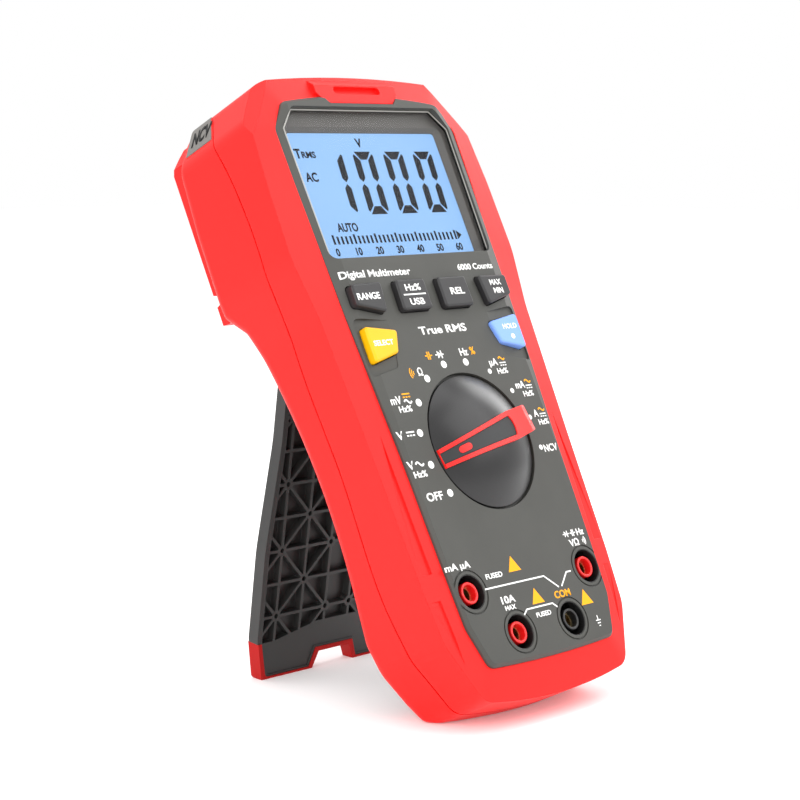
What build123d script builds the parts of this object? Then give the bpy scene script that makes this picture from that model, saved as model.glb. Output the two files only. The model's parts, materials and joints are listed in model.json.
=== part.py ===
from build123d import *
import os
from math import cos, radians, sin, sqrt

# Handheld digital multimeter on its tilt stand, in millimetres.
# Every piece is drawn in the meter's own frame: x to the right, y up the face, z out of the face,
# with the dial's centre on the panel surface at (0, 0, 0). METER stands that frame up on the stand.

# ---- driving dimensions: stance ----
LEAN = 26.2                 # the meter leans back from upright, degrees
SPLAY = 8.0                 # the deployed stand slopes back from upright, degrees

# ---- driving dimensions: casing ----
TOP_Y = 114.2
BOTTOM_Y = -72.6
CREASE_Z = -3.0             # where the front bevel turns into the side wall
LIP_Z = -1.6                # the red frame meets the panel's edge at this depth
PANEL_SLOPE_X = 30.5        # the panel falls away towards its sides from here
PANEL_SLOPE = 0.3
HEAD_BACK_Z = -37.0
RIB_BACK_Z = -40.6          # probe-holder ribs on the back of the head
RIB_TOP_Y = 101.0           # where the ribs start to turn in towards the top
RIB_TURN = 4.5
STEP_Y = 52.0               # the thick head ends here
RAIL_END_Z = -31.8          # back rails beside the stand, at their ends
RAIL_WAIST_Z = -26.8        # and at the waist
REST_FRONT_Z = -20.0        # the rest facet runs from here
REST_BACK_Z = -28.0         # to here
SKIN = 1.8                  # soft overmould thickness
WALL = 2.0                  # hard shell thickness
PANEL_T = 2.4               # front panel thickness
EDGE_BEVEL = 0.9            # bevel around the panel's edge

# ---- driving dimensions: face ----
DIAL_RECESS_R = 20.35
DIAL_RECESS_DEPTH = 1.5
KNOB_R = 19.6
KNOB_HUB_R = 6.0
RUNNING_GAP = 0.05
POINTER_ANGLE = 191.25      # the knob points at the second of eleven positions
JACK_SPACING = 19.0         # between the common and the voltage socket
JACK_HOLE_R = 5.0
JACK_BORE_R = 2.0
JACK_POINTS = {"ma": (-24.7, -40.9), "10a": (-11.2, -54.3), "common": (11.2, -54.3), "volt": (24.7, -40.9)}

# ---- driving dimensions: display ----
LENS_Z = -1.8               # front of the window
LENS_T = 1.2
GASKET_T = 0.2
GLASS_Z = -4.4              # front of the LCD glass
GLASS_T = 1.2
CORNER_ANGLES = (35, 145)   # which way the two cut corners of the head face

# ---- driving dimensions: stand ----
HINGE_Y = 48.5
HINGE_Z = -28.6
STAND_T = 3.9
STAND_BARREL_R = 2.1
HINGE_PIN_R = 1.5
POCKET_Z = -25.9            # floor of the pocket that the folded stand lies in
POCKET_HALF = 33.0
POCKET_END_Y = -58.6
POCKET_TOP_Y = 51.2
FOOT_NOTCH = 9.4            # half width of the notch in the foot, at the bench
RIB_PITCH = 10.0            # lattice pitch on the stand
HUB_ROW_Y = -86.4           # lowest row of rib hubs, measured from the hinge

# ---- driving dimensions: inside ----
BOARD_FRONT_Z = -8.8
BOARD_T = 1.6
CELL_R = 5.15               # AAA cells
CELL_LENGTH = 44.5
CELL_PITCH = 11.4
CELL_Z = -18.6
TRAY = (51.0, 52.0)         # battery tray, width and length
TRAY_Y = 4.0
TRAY_FRONT_Z = -12.4
DOOR_HALF = 23.4
DOOR_Y = (-20.0, 28.0)
DOOR_SCREW_Y = 33.5
SCREW_R = 1.3
CASE_SCREWS = [(36, 100, HEAD_BACK_Z), (29.2, 16, POCKET_Z), (28.5, -50, POCKET_Z)]
SEAM_GAP = 0.45
SEAM = [(120, -27.5), (104, -20.5), (85, -15.2), (55, -14.2), (28, -16.2), (0, -16.2), (-35, -18.0),
        (-60, -15.6), (-80, -14.5)]

# ---- stance, worked out ----
lean_sin = sin(radians(LEAN))
lean_cos = cos(radians(LEAN))
rest_y = BOTTOM_Y + 0.4
dial_height = -(rest_y * lean_cos + REST_FRONT_Z * lean_sin)
front_reach = BOTTOM_Y * lean_sin - CREASE_Z * lean_cos
back_reach = RIB_TOP_Y * lean_sin - RIB_BACK_Z * lean_cos
dial_back = -(front_reach + back_reach) / 2
METER = Plane(origin=(0, dial_back, dial_height), x_dir=(1, 0, 0), z_dir=(0, -lean_cos, lean_sin))
DEPTH = Axis(METER.origin, METER.z_dir)
SIDE = Plane(origin=METER.origin, x_dir=METER.y_dir, z_dir=METER.x_dir)
ACROSS = Plane(origin=METER.origin, x_dir=METER.x_dir, z_dir=-METER.y_dir)
knob_x = METER.x_dir.rotate(Axis((0, 0, 0), METER.z_dir), POINTER_ANGLE)
KNOB = Plane(origin=METER.origin, x_dir=knob_x, z_dir=METER.z_dir)
KNOB_SIDE = Plane(origin=METER.origin, x_dir=knob_x, z_dir=-KNOB.y_dir)
hinge = METER.from_local_coords(Vector(0, HINGE_Y, HINGE_Z))
STAND = Plane(origin=hinge, x_dir=(1, 0, 0), z_dir=(0, -cos(radians(SPLAY)), -sin(radians(SPLAY))))
stand_length = hinge.Z / cos(radians(SPLAY))


def facet_y(z):
    """The rest facet's y at depth z: it lies parallel to the bench while the meter leans."""
    return (-dial_height - z * lean_sin) / lean_cos


def near(points, x, y):
    """The sketch vertex closest to (x, y)."""
    return points.sort_by_distance((x, y, 0))[0]


def casing_outline(plane, inset=0.0):
    """Face-on outline of the casing at its widest."""
    with BuildSketch(plane) as face:
        with BuildLine():
            FilletPolyline((35.6, 112.5), (44.1, 100.2), (45.5, 80), (45.8, 58), (42.9, 40), (40.9, 0),
                           (39.4, -37), (38.0, -53), (30.5, -69.8), radius=[8, 60, 30, 30, 200, 60, 12])
            mirror(about=Plane.YZ)
            ThreePointArc((-35.6, 112.5), (0, TOP_Y), (35.6, 112.5))
            ThreePointArc((-30.5, -69.8), (0, BOTTOM_Y), (30.5, -69.8))
        make_face()
        corners = vertices()
        fillet([near(corners, x, 112.5) for x in (-35.6, 35.6)], radius=5)
        corners = vertices()
        fillet([near(corners, x, -69.8) for x in (-30.5, 30.5)], radius=6)
        if inset:
            offset(amount=-inset, kind=Kind.INTERSECTION)
    return face.sketch


def panel_outline(plane, inset=0.0):
    """Outline of the grey panel inside the red frame."""
    with BuildSketch(plane) as face:
        with BuildLine():
            FilletPolyline((31.4, 105.0), (36.8, 96.8), (36.4, 80), (35.5, 60), (34.8, 40), (32.2, 0),
                           (30.9, -35), (30.2, -50), (26.4, -61.8), radius=[4, 60, 60, 200, 100, 100, 8])
            mirror(about=Plane.YZ)
            ThreePointArc((-31.4, 105.0), (0, 107.3), (31.4, 105.0))
            ThreePointArc((-26.4, -61.8), (0, -62.6), (26.4, -61.8))
        make_face()
        corners = vertices()
        fillet([near(corners, x, 105.0) for x in (-31.4, 31.4)], radius=3)
        corners = vertices()
        fillet([near(corners, x, -61.8) for x in (-26.4, 26.4)], radius=3)
        if inset:
            offset(amount=-inset, kind=Kind.INTERSECTION)
    return face.sketch


def casing_profile(inset=0.0):
    """Side-on profile of the casing: deep head, waisted back, and a rest facet under the bottom edge."""
    with BuildSketch(SIDE) as face:
        with BuildLine():
            Polyline((-44, RAIL_END_Z), (-62, -29.6), (facet_y(REST_BACK_Z), REST_BACK_Z), (facet_y(-16), -16),
                     (facet_y(-16), 3), (120, 3), (120, -26), (107, HEAD_BACK_Z), (STEP_Y + 3, HEAD_BACK_Z),
                     (48.2, RAIL_END_Z))
            ThreePointArc((48.2, RAIL_END_Z), (3, RAIL_WAIST_Z), (-44, RAIL_END_Z))
        make_face()
        for y, z, r in ((107, HEAD_BACK_Z, 8), (STEP_Y + 3, HEAD_BACK_Z, 3), (48.2, RAIL_END_Z, 3),
                        (-44, RAIL_END_Z, 8), (-62, -29.6, 10)):
            fillet(near(vertices(), y, z), radius=r)
        if inset:
            offset(amount=-inset, kind=Kind.INTERSECTION)
    return face.sketch


def front_of_seam(drop=0.0):
    """The space in front of the waved parting line, reaching drop further back."""
    with BuildSketch(SIDE) as face:
        with BuildLine():
            Spline(*[(y, z - drop) for y, z in SEAM])
            Polyline((-80, SEAM[-1][1] - drop), (-80, 20), (120, 20), (120, SEAM[0][1] - drop))
        make_face()
    return extrude(face.sketch, amount=60, both=True)


def casing_block(inset):
    """The casing as one block, its sides and back moved in by inset."""
    with BuildPart() as block:
        extrude(casing_outline(METER.offset(CREASE_Z - inset), inset), amount=-44)
        extrude(casing_profile(inset), amount=60, both=True, mode=Mode.INTERSECT)
    return block.part


def hard_block():
    """Everything inside the soft overmould, taking in the floor of the stand's pocket."""
    with BuildPart() as block:
        add(casing_block(SKIN))
        with BuildSketch(METER.offset(POCKET_Z)):
            with Locations((0, (POCKET_TOP_Y + POCKET_END_Y) / 2)):
                RectangleRounded(2 * POCKET_HALF + 2.6, POCKET_TOP_Y - POCKET_END_Y + 2.6, 3)
        extrude(amount=5)
    return block.part


def cavity():
    """The hollow inside the hard shells: deep in the head, shallow behind the stand's pocket."""
    with BuildPart() as hollow:
        add(casing_block(SKIN + WALL))
        with BuildSketch(SIDE):
            with Locations((POCKET_TOP_Y + WALL - 100, POCKET_Z + WALL - 10)):
                Rectangle(200, 20)
        extrude(amount=60, both=True, mode=Mode.SUBTRACT)
        with BuildSketch(METER.offset(POCKET_Z + WALL)):
            with Locations((0, 0.5)):
                Rectangle(62, 101)
        extrude(amount=10)
    return hollow.part


def stand_pocket():
    """The space that the folded stand lies in, open to the back."""
    with BuildSketch(METER.offset(POCKET_Z)) as mouth:
        with Locations((0, (POCKET_TOP_Y + POCKET_END_Y) / 2)):
            RectangleRounded(2 * POCKET_HALF, POCKET_TOP_Y - POCKET_END_Y, 2.5)
    return extrude(mouth.sketch, amount=-20)


def panel_block():
    """The grey panel: a flat middle, sides that fall away, and a bevelled edge."""
    with BuildPart() as block:
        extrude(panel_outline(METER.offset(-EDGE_BEVEL)), amount=EDGE_BEVEL - 7)
        loft([panel_outline(METER.offset(-EDGE_BEVEL)).faces()[0], panel_outline(METER, EDGE_BEVEL).faces()[0]],
             ruled=True)
        with BuildSketch(ACROSS):
            with BuildLine():
                Polyline((-50, -8), (-50, PANEL_SLOPE * (PANEL_SLOPE_X - 50)), (-PANEL_SLOPE_X, 0), (PANEL_SLOPE_X, 0),
                         (50, PANEL_SLOPE * (PANEL_SLOPE_X - 50)), (50, -8), close=True)
            make_face()
        extrude(amount=130, both=True, mode=Mode.INTERSECT)
    return block.part


def tab_outline(plane):
    """Outline of the raised tab over the top edge of the panel."""
    with BuildSketch(plane) as face:
        with BuildLine():
            Polyline((-13.2, 104.4), (12.8, 104.4), (16.4, 108.0), (16.4, 115), (-16.8, 115), (-16.8, 108.0),
                     close=True)
        make_face()
    return face.sketch


def lens_outline(plane, grow=0.0):
    """Outline of the display window."""
    with BuildSketch(plane) as face:
        with BuildLine():
            FilletPolyline((0, 103.3), (29.1, 103.3), (34.3, 97.3), (33.4, 56.8), (0, 56.8), radius=[2, 2, 3])
            mirror(about=Plane.YZ)
        make_face()
        if grow:
            offset(amount=grow, kind=Kind.ARC if grow > 0 else Kind.INTERSECTION)
    return face.sketch


def key_outline(plane, points, grow=0.0):
    """Outline of a push button with softened corners."""
    with BuildSketch(plane) as face:
        with BuildLine():
            Polyline(*points, close=True)
        make_face()
        fillet(vertices(), radius=1.2)
        if grow:
            offset(amount=grow)
    return face.sketch


def flip(points, side):
    """Points of the right-hand shape, mirrored across the meter when side is -1."""
    return [(side * x, y) for x, y in points]


OUTER_KEY = [(20.0, 48.8), (32.4, 48.6), (32.4, 42.0), (21.2, 39.2)]
INNER_KEY = [(2.6, 49.0), (14.7, 49.0), (15.0, 39.4), (2.5, 39.4)]
THUMB_KEY = [(19.2, 34.6), (31.9, 36.5), (31.9, 25.2), (21.6, 27.6)]
KEYS = {"range_button": (OUTER_KEY, -1, 2.1), "hertz_button": (INNER_KEY, -1, 2.1),
        "relative_button": (INNER_KEY, 1, 2.1), "maxmin_button": (OUTER_KEY, 1, 2.1),
        "select_button": (THUMB_KEY, -1, 1.3), "hold_button": (THUMB_KEY, 1, 1.3)}
KEY_GAP = 0.25


pieces = []

# ================= casing =================

front_space = front_of_seam()
rear_cut = front_of_seam(SEAM_GAP)
inner_block = hard_block()
hollow = cavity()
pocket = stand_pocket()

with BuildPart() as top_tab:
    with BuildSketch(SIDE):
        with BuildLine():
            Polyline((104.4, -PANEL_T), (104.4, -1.1), (104.9, -0.6), (110.6, -0.8), (112.8, -2.8), (112.8, -4.8),
                     (107.0, -4.8), (107.0, -PANEL_T), close=True)
        make_face()
    extrude(amount=18, both=True)
    extrude(tab_outline(METER.offset(-6)), amount=10, mode=Mode.INTERSECT)
    with BuildSketch(METER.offset(2)):
        with Locations((0, 108.9)):
            SlotOverall(19, 2.4)
    extrude(amount=-5.0, mode=Mode.SUBTRACT)

with BuildPart() as front_bumper:
    add(casing_block(0))
    loft([casing_outline(METER.offset(CREASE_Z)).faces()[0], panel_outline(METER.offset(LIP_Z)).faces()[0]],
         ruled=True)
    add(front_space, mode=Mode.INTERSECT)
    add(inner_block, mode=Mode.SUBTRACT)
    extrude(panel_outline(METER.offset(5)), amount=-40, mode=Mode.SUBTRACT)
    with BuildSketch(METER.offset(2)):
        for side in (-1, 1):
            for points in ([(36.2, 6), (38.6, -33.5), (34.6, -33.5)], [(38.0, -41), (34.8, -41), (33.4, -59)]):
                with BuildLine():
                    Polyline(*flip(points, side), close=True)
                make_face()
    extrude(amount=-4.8, mode=Mode.SUBTRACT)
    for angle in CORNER_ANGLES:
        outward = METER.x_dir.rotate(Axis((0, 0, 0), METER.z_dir), angle)
        with BuildSketch(Plane(origin=METER.origin, x_dir=outward, z_dir=outward.cross(METER.z_dir))):
            with BuildLine():
                Polyline((88.4, 1.0), (96.2, -9.5), (100, -9.5), (100, 1.0), close=True)
            make_face()
        extrude(amount=100, both=True, mode=Mode.SUBTRACT)
    add(top_tab.part)
front_bumper.part.label = "front_bumper"
pieces.append(front_bumper)

with BuildPart() as probe_ribs:
    with BuildSketch(SIDE):
        with BuildLine():
            Polyline((63.8, RIB_BACK_Z), (RIB_TOP_Y, RIB_BACK_Z),
                     (RIB_TOP_Y + RIB_TURN, RIB_BACK_Z + RIB_TURN * lean_sin / lean_cos), (109.4, -35.4),
                     (110.6, -32), (62.2, -32), (62.2, HEAD_BACK_Z), close=True)
        make_face()
        with BuildLine():
            Polyline((54.6, RIB_BACK_Z), (60.2, RIB_BACK_Z), (61.0, HEAD_BACK_Z), (61.0, -34), (54.0, -34),
                     (54.0, HEAD_BACK_Z), close=True)
        make_face()
    extrude(amount=60, both=True)
    with BuildSketch(METER.offset(-30)):
        with Locations((40.2, 82), (-40.2, 82)):
            Rectangle(3.4, 60)
    extrude(amount=-20, mode=Mode.INTERSECT)
    extrude(casing_outline(METER, 0.4), amount=-50, mode=Mode.INTERSECT)

with BuildPart() as rear_bumper:
    add(casing_block(0))
    fillet([edge for edge in edges() if METER.to_local_coords(edge.center()).Z < -24.5], radius=3)
    add(rear_cut, mode=Mode.SUBTRACT)
    add(probe_ribs.part)
    with BuildSketch(METER.offset(HEAD_BACK_Z + 1)):
        with Locations((0, 78)):
            RectangleRounded(56, 44, 5)
    extrude(amount=RIB_BACK_Z - HEAD_BACK_Z - 1)
    add(inner_block, mode=Mode.SUBTRACT)
    add(pocket, mode=Mode.SUBTRACT)
    for x, y, back in CASE_SCREWS[:1]:
        with BuildSketch(METER.offset(HEAD_BACK_Z - 5)):
            with Locations((x, y), (-x, y)):
                Circle(3.0)
        extrude(amount=10, mode=Mode.SUBTRACT)
    with BuildSketch(SIDE):
        with Locations((HINGE_Y, HINGE_Z)):
            Circle(HINGE_PIN_R)
    extrude(amount=POCKET_HALF + 4, both=True, mode=Mode.SUBTRACT)
rear_bumper.part.label = "rear_bumper"
pieces.append(rear_bumper)


def thumb_scoop(side):
    """The sloping hollow that a thumb button sits in."""
    with BuildPart() as scoop:
        with BuildSketch(METER.offset(2)):
            with BuildLine():
                Polyline(*flip([(19.6, 37.6), (33.2, 39.2), (33.2, 21.8), (22.8, 23.8)], side), close=True)
            make_face()
            fillet(vertices(), radius=1.4)
        extrude(amount=-4)
        with BuildSketch(ACROSS):
            with BuildLine():
                Polyline(*flip([(19, 0.2), (36, -1.6), (36, 5), (19, 5)], side), close=True)
            make_face()
        extrude(amount=60, both=True, mode=Mode.INTERSECT)
    return scoop.part


with BuildPart() as front_case:
    add(inner_block)
    add(front_space, mode=Mode.INTERSECT)
    add(panel_block())
    add(hollow, mode=Mode.SUBTRACT)
    extrude(panel_outline(METER.offset(-PANEL_T), WALL), amount=-6, mode=Mode.SUBTRACT)
    extrude(lens_outline(METER.offset(-5.2), 2.0), amount=5.2 - PANEL_T)
    with BuildSketch(METER.offset(-3.6)):
        Circle(DIAL_RECESS_R + 2)
    extrude(amount=3.6 - PANEL_T)
    with BuildSketch(METER.offset(-7)):
        for x, y in JACK_POINTS.values():
            with Locations((x, y)):
                Circle(JACK_HOLE_R + 1.6)
    extrude(amount=7 - PANEL_T)
    for x, y, back in CASE_SCREWS:
        with BuildSketch(METER.offset(-PANEL_T)):
            with Locations((x, y), (-x, y)):
                Circle(3.2)
        extrude(amount=-11.6)
    extrude(tab_outline(METER.offset(-PANEL_T)), amount=6, mode=Mode.SUBTRACT)
    add(top_tab.part, mode=Mode.SUBTRACT)
    add(thumb_scoop(-1), mode=Mode.SUBTRACT)
    add(thumb_scoop(1), mode=Mode.SUBTRACT)
    extrude(lens_outline(METER.offset(1)), amount=-8, mode=Mode.SUBTRACT)
    extrude(lens_outline(METER.offset(LENS_Z), 1.2), amount=BOARD_FRONT_Z - LENS_Z, mode=Mode.SUBTRACT)
    with BuildSketch(METER.offset(-DIAL_RECESS_DEPTH)):
        Circle(DIAL_RECESS_R)
    extrude(amount=5, mode=Mode.SUBTRACT)
    with BuildSketch(METER.offset(1)):
        Circle(KNOB_HUB_R + RUNNING_GAP)
        for x, y in JACK_POINTS.values():
            with Locations((x, y)):
                Circle(JACK_HOLE_R)
    extrude(amount=-9, mode=Mode.SUBTRACT)
    with BuildSketch(METER.offset(-0.4)):
        for x, y in JACK_POINTS.values():
            with Locations((x, y)):
                Circle(JACK_HOLE_R + 1.3)
                Circle(JACK_HOLE_R + 0.8, mode=Mode.SUBTRACT)
    extrude(amount=2, mode=Mode.SUBTRACT)
    for points, side, proud in KEYS.values():
        extrude(key_outline(METER.offset(1), flip(points, side)), amount=-5, mode=Mode.SUBTRACT)
    for x, y, back in CASE_SCREWS:
        with BuildSketch(METER.offset(-5.5)):
            with Locations((x, y), (-x, y)):
                Circle(SCREW_R)
        extrude(amount=-10, mode=Mode.SUBTRACT)
    add(front_bumper.part, mode=Mode.SUBTRACT)
front_case.part.label = "front_case"
pieces.append(front_case)

with BuildPart() as rear_case:
    add(inner_block)
    add(rear_cut, mode=Mode.SUBTRACT)
    add(hollow, mode=Mode.SUBTRACT)
    add(pocket, mode=Mode.SUBTRACT)
    for x, y, back in CASE_SCREWS:
        with BuildSketch(METER.offset(back + SKIN * (back == HEAD_BACK_Z) + 0.2)):
            with Locations((x, y), (-x, y)):
                Circle(3.2)
        extrude(amount=-14.3 - back - SKIN * (back == HEAD_BACK_Z))
    with BuildSketch(METER.offset(POCKET_Z + 0.2)):
        with Locations((0, DOOR_SCREW_Y)):
            Circle(3.2)
    extrude(amount=6)
    for x, y, back in CASE_SCREWS:
        with BuildSketch(METER.offset(-40)):
            with Locations((x, y), (-x, y)):
                Circle(3.0)
        extrude(amount=40 + back + 2.4, mode=Mode.SUBTRACT)
        with BuildSketch(METER.offset(-40)):
            with Locations((x, y), (-x, y)):
                Circle(SCREW_R + 0.3)
        extrude(amount=30, mode=Mode.SUBTRACT)
    with BuildSketch(METER.offset(POCKET_Z - 1)):
        with Locations((0, sum(DOOR_Y) / 2)):
            Rectangle(2 * DOOR_HALF, DOOR_Y[1] - DOOR_Y[0])
    extrude(amount=4, mode=Mode.SUBTRACT)
    with BuildSketch(METER.offset(POCKET_Z - 1)):
        with Locations((0, sum(DOOR_Y) / 2)):
            RectangleRounded(2 * DOOR_HALF + 3, DOOR_Y[1] - DOOR_Y[0] + 3, 2)
        with Locations((0, DOOR_SCREW_Y - 1.2)):
            RectangleRounded(10, 10.5, 2)
    extrude(amount=2.2, mode=Mode.SUBTRACT)
    with BuildSketch(METER.offset(POCKET_Z - 1)):
        with Locations((0, DOOR_SCREW_Y)):
            Circle(SCREW_R)
    extrude(amount=6.5, mode=Mode.SUBTRACT)
    with BuildSketch(SIDE):
        with Locations((HINGE_Y, HINGE_Z)):
            Circle(HINGE_PIN_R)
    extrude(amount=POCKET_HALF + 4, both=True, mode=Mode.SUBTRACT)
    add(front_case.part, mode=Mode.SUBTRACT)
rear_case.part.label = "rear_case"
pieces.append(rear_case)

with BuildPart() as case_gasket:
    add(inner_block)
    add(rear_cut, mode=Mode.INTERSECT)
    add(front_space, mode=Mode.SUBTRACT)
    add(casing_block(SKIN + 1.0), mode=Mode.SUBTRACT)
case_gasket.part.label = "case_gasket"
pieces.append(case_gasket)

with BuildPart() as case_screws:
    for x, y, back in CASE_SCREWS:
        with BuildSketch(METER.offset(back + 2.4)):
            with Locations((x, y), (-x, y)):
                Circle(2.6)
                RegularPolygon(1.0, 6, mode=Mode.SUBTRACT)
        extrude(amount=-1.6)
        with BuildSketch(METER.offset(back + 2.4 - 0.8)):
            with Locations((x, y), (-x, y)):
                Circle(SCREW_R)
        extrude(amount=-7.5 - back - 1.6)
case_screws.part.label = "case_screws"
pieces.append(case_screws)

# ================= display =================

with BuildPart() as display_lens:
    extrude(lens_outline(METER.offset(LENS_Z), 1.1), amount=-LENS_T)
display_lens.part.label = "display_lens"
pieces.append(display_lens)

with BuildPart() as lens_gasket:
    extrude(lens_outline(METER.offset(LENS_Z - LENS_T), 1.1), amount=-GASKET_T)
    extrude(lens_outline(METER, 0.3), amount=-8, mode=Mode.SUBTRACT)
lens_gasket.part.label = "lens_gasket"
pieces.append(lens_gasket)

GLASS_HALF = 31.4
GLASS_Y = (56.6, 98.4)


def panel_box(x_half, y_low, y_high, z_low, z_high):
    """A rectangular slab lying parallel to the face."""
    with BuildPart(METER) as slab:
        with Locations((0, (y_low + y_high) / 2, (z_low + z_high) / 2)):
            Box(2 * x_half, y_high - y_low, z_high - z_low)
    return slab.part


with BuildPart() as display_frame:
    frame_top = LENS_Z - LENS_T - GASKET_T
    extrude(lens_outline(METER.offset(frame_top), 1.1), amount=BOARD_FRONT_Z - frame_top)
    add(panel_box(GLASS_HALF + 0.1, GLASS_Y[0] - 0.1, GLASS_Y[1] + 0.1, -10, GLASS_Z), mode=Mode.SUBTRACT)
    with BuildSketch(METER.offset(GLASS_Z)) as foot_edge:
        with Locations((0, 77.6)):
            RectangleRounded(60.6, 38.8, 1.0)
    with BuildSketch(METER.offset(frame_top)) as top_edge:
        with Locations((0, 77.9)):
            RectangleRounded(64.8, 41.0, 2.0)
    loft([foot_edge.sketch.faces()[0], top_edge.sketch.faces()[0]], mode=Mode.SUBTRACT)
display_frame.part.label = "display_frame"
pieces.append(display_frame)

with BuildPart() as lcd_glass:
    add(panel_box(GLASS_HALF, *GLASS_Y, GLASS_Z - GLASS_T, GLASS_Z))
lcd_glass.part.label = "lcd_glass"
pieces.append(lcd_glass)

with BuildPart() as backlight:
    add(panel_box(GLASS_HALF - 0.3, 60.2, 98.2, BOARD_FRONT_Z, GLASS_Z - GLASS_T))
backlight.part.label = "backlight"
pieces.append(backlight)

with BuildPart() as zebra_strips:
    for x in (-14.5, 14.5):
        with BuildSketch(METER.offset(BOARD_FRONT_Z)):
            with Locations((x, 58.1)):
                Rectangle(27, 1.8)
        extrude(amount=GLASS_Z - GLASS_T - BOARD_FRONT_Z)
zebra_strips.part.label = "zebra_strips"
pieces.append(zebra_strips)

# ================= keys =================

keys = []
for name, (points, side, proud) in KEYS.items():
    with BuildPart() as key:
        extrude(key_outline(METER.offset(-2.6), flip(points, side), -KEY_GAP), amount=2.6 + proud)
        top_rim = faces().sort_by(DEPTH)[-1].edges()
        fillet(top_rim, radius=0.7)
        with BuildSketch(METER.offset(-3.4)):
            with Locations((side * sum(x for x, y in points) / 4, sum(y for x, y in points) / 4)):
                Circle(2.0)
        extrude(amount=0.8)
    key.part.label = name
    keys.append(key)
pieces.extend(keys)

with BuildPart() as keypad_mat:
    with BuildSketch(METER.offset(BOARD_FRONT_Z)):
        with Locations((0, 37)):
            RectangleRounded(64, 28, 2)
        Circle(DIAL_RECESS_R + 3, mode=Mode.SUBTRACT)
    extrude(amount=0.8)
    for points, side, proud in KEYS.values():
        with BuildSketch(METER.offset(BOARD_FRONT_Z + 0.8)):
            with Locations((side * sum(x for x, y in points) / 4, sum(y for x, y in points) / 4)):
                Circle(2.6)
        extrude(amount=3.5, taper=8)
keypad_mat.part.label = "keypad_mat"
pieces.append(keypad_mat)

# ================= selector =================

dome_r = (KNOB_R ** 2 + 6.6 ** 2) / (2 * 6.6)


def dome_z(r):
    """Height of the knob's dome above the panel at radius r."""
    return 6.3 - (dome_r - sqrt(dome_r ** 2 - r ** 2))


def bar_outline(plane):
    """The raised pointer bar seen from the front, pointer end towards +x."""
    with BuildSketch(plane) as face:
        with BuildLine():
            Polyline((22, 2.6), (-6, 4.3), (-13.8, 4.0), (-22, 3.2), (-22, -3.2), (-13.8, -4.0), (-6, -4.3),
                     (22, -2.6), close=True)
        make_face()
    return face.sketch


def inlay_outline(plane, gap=0.0):
    """The dark plate set into the bar."""
    with BuildSketch(plane) as face:
        with BuildLine():
            Polyline((22, 1.45), (-6.2, 2.95))
            ThreePointArc((-6.2, 2.95), (-7.0, 0), (-6.2, -2.95))
            Polyline((-6.2, -2.95), (22, -1.45), (22, 1.45))
        make_face()
        if gap:
            offset(amount=-gap, kind=Kind.INTERSECTION)
    return face.sketch


def bar_body(lower):
    """The bar as a solid: side profile of a swept crest, trimmed to the outline."""
    with BuildPart() as bar:
        with BuildSketch(KNOB_SIDE):
            with BuildLine():
                Spline((19.3, 0.9 - lower), (13, 4.4 - lower), (0, 7.2 - lower), (-13.4, 7.1 - lower))
                ThreePointArc((-13.4, 7.1 - lower), (-17.0, 5.2 - lower), (-19.3, 0.9 - lower))
                Polyline((-19.3, 0.9 - lower), (-19.3, 0), (19.3, 0), (19.3, 0.9 - lower))
            make_face()
        extrude(amount=8, both=True)
        extrude(bar_outline(KNOB), amount=9, mode=Mode.INTERSECT)
    return bar.part


with BuildPart() as selector_knob:
    with BuildSketch(ACROSS):
        with BuildLine():
            ThreePointArc((0, dome_z(0)), (10, dome_z(10)), (KNOB_R, dome_z(KNOB_R)))
            Polyline((KNOB_R, dome_z(KNOB_R)), (KNOB_R, -1.4), (KNOB_HUB_R, -1.4), (KNOB_HUB_R, -5.4), (0, -5.4),
                     (0, dome_z(0)))
        make_face()
    revolve(axis=DEPTH)
    extrude(bar_outline(KNOB), amount=10, mode=Mode.SUBTRACT)
    with BuildSketch(METER.offset(-6)):
        Circle(2.6)
    extrude(amount=4, mode=Mode.SUBTRACT)
selector_knob.part.label = "selector_knob"
pieces.append(selector_knob)

with BuildPart() as knob_rails:
    add(bar_body(0.0))
    extrude(inlay_outline(KNOB.offset(0.6)), amount=10, mode=Mode.SUBTRACT)
    with BuildSketch(ACROSS):
        with Locations((KNOB_R + 5, 5)):
            Rectangle(10, 14)
    revolve(axis=DEPTH, mode=Mode.SUBTRACT)
knob_rails.part.label = "knob_rails"
pieces.append(knob_rails)

with BuildPart() as knob_inlay:
    add(bar_body(0.35))
    extrude(inlay_outline(KNOB.offset(0.6), 0.06), amount=10, mode=Mode.INTERSECT)
    with BuildSketch(KNOB.offset(1.5)):
        with Locations((12.6, 0)):
            SlotOverall(3.9, 2.0)
    extrude(amount=8, mode=Mode.SUBTRACT)
    with BuildSketch(ACROSS):
        with Locations((KNOB_R + 5, 5)):
            Rectangle(10, 14)
    revolve(axis=DEPTH, mode=Mode.SUBTRACT)
knob_inlay.part.label = "knob_inlay"
pieces.append(knob_inlay)

with BuildPart() as pointer_dot:
    add(bar_body(0.15))
    with BuildSketch(KNOB.offset(1.5)):
        with Locations((12.6, 0)):
            SlotOverall(3.9, 2.0)
    extrude(amount=8, mode=Mode.INTERSECT)
pointer_dot.part.label = "pointer_dot"
pieces.append(pointer_dot)

with BuildPart() as switch_rotor:
    with BuildSketch(METER.offset(-7.2)):
        Circle(16.5)
    extrude(amount=1.8)
    with BuildSketch(METER.offset(-5.4)):
        Circle(2.6)
    extrude(amount=3.2)
    with BuildSketch(METER.offset(-5.4)):
        with PolarLocations(13.0, 2, start_angle=90):
            Circle(1.3)
    extrude(amount=-1.5, mode=Mode.SUBTRACT)
switch_rotor.part.label = "switch_rotor"
pieces.append(switch_rotor)

with BuildPart(METER) as detent_springs:
    with PolarLocations(13.0, 2, start_angle=90):
        with Locations((0, 0, -6.75)):
            Cylinder(1.0, 0.3)
detent_springs.part.label = "detent_springs"
pieces.append(detent_springs)

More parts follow.
